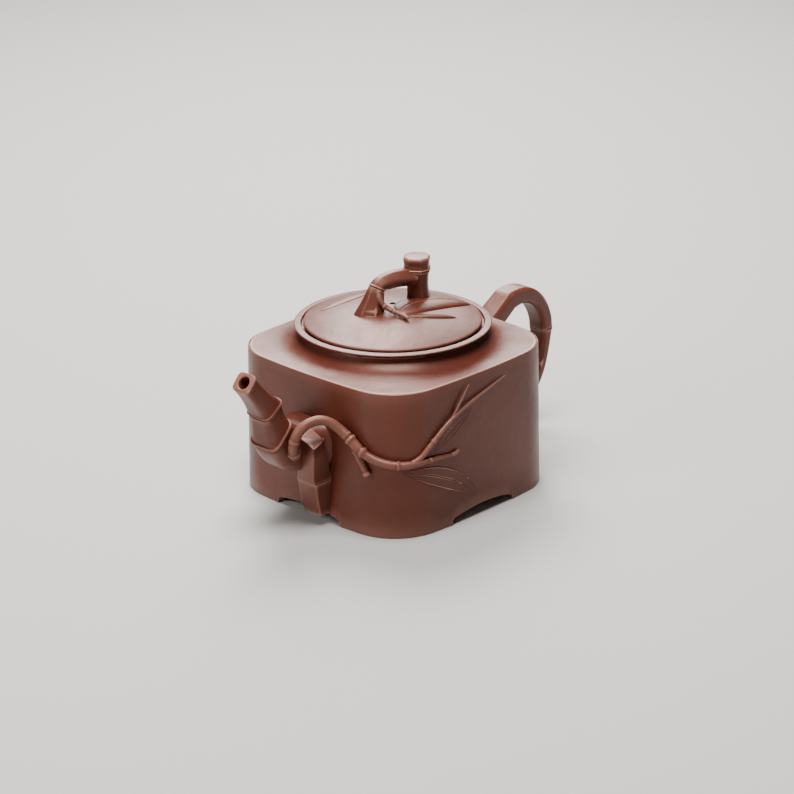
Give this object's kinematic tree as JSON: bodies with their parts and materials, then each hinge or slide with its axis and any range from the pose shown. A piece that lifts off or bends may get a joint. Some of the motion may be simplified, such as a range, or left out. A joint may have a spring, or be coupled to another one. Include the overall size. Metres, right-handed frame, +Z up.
{
  "type": "clay teapot",
  "caption": "Square unglazed clay teapot with rounded corners, low feet, round lid with a bamboo bridge knob, jointed bamboo spout and handle, and an applied twig.",
  "frame": {"origin": "middle of the overall length and width, in the plane that the four feet stand on; the pot's own upright axis is 4.26 mm from it towards the spout", "axes": "+Z up, spout points along -X, handle along +X, the applied twig runs on to the -Y side"},
  "size_m": [0.1758, 0.0986, 0.0929],
  "materials": {
    "burnished_clay": "satin, burnished unglazed clay with fine grain",
    "plain_clay": "matt, unburnished clay"
  },
  "bodies": {
    "pot": {"body_wall": "burnished_clay", "body_floor": "plain_clay", "shoulder": "burnished_clay", "neck_ring": "burnished_clay", "spout": "burnished_clay", "strainer": "plain_clay", "handle": "burnished_clay", "stump": "burnished_clay", "branch": "burnished_clay", "cut_twig": "burnished_clay", "long_twig": "burnished_clay", "short_twig": "burnished_clay", "lower_leaf": "burnished_clay", "upper_leaf": "burnished_clay"},
    "lid": {"lid_plate": "burnished_clay", "lid_flange": "plain_clay", "knob": "burnished_clay", "knob_twig": "burnished_clay", "broad_lid_leaf": "burnished_clay", "narrow_lid_leaf": "burnished_clay", "rear_lid_leaf": "burnished_clay"}
  },
  "joints": [
    {"name": "lid_lift", "type": "slide", "parent": "pot", "child": "lid", "axis": [0, 0, 1], "range_m": [0, 0.06]}
  ]
}
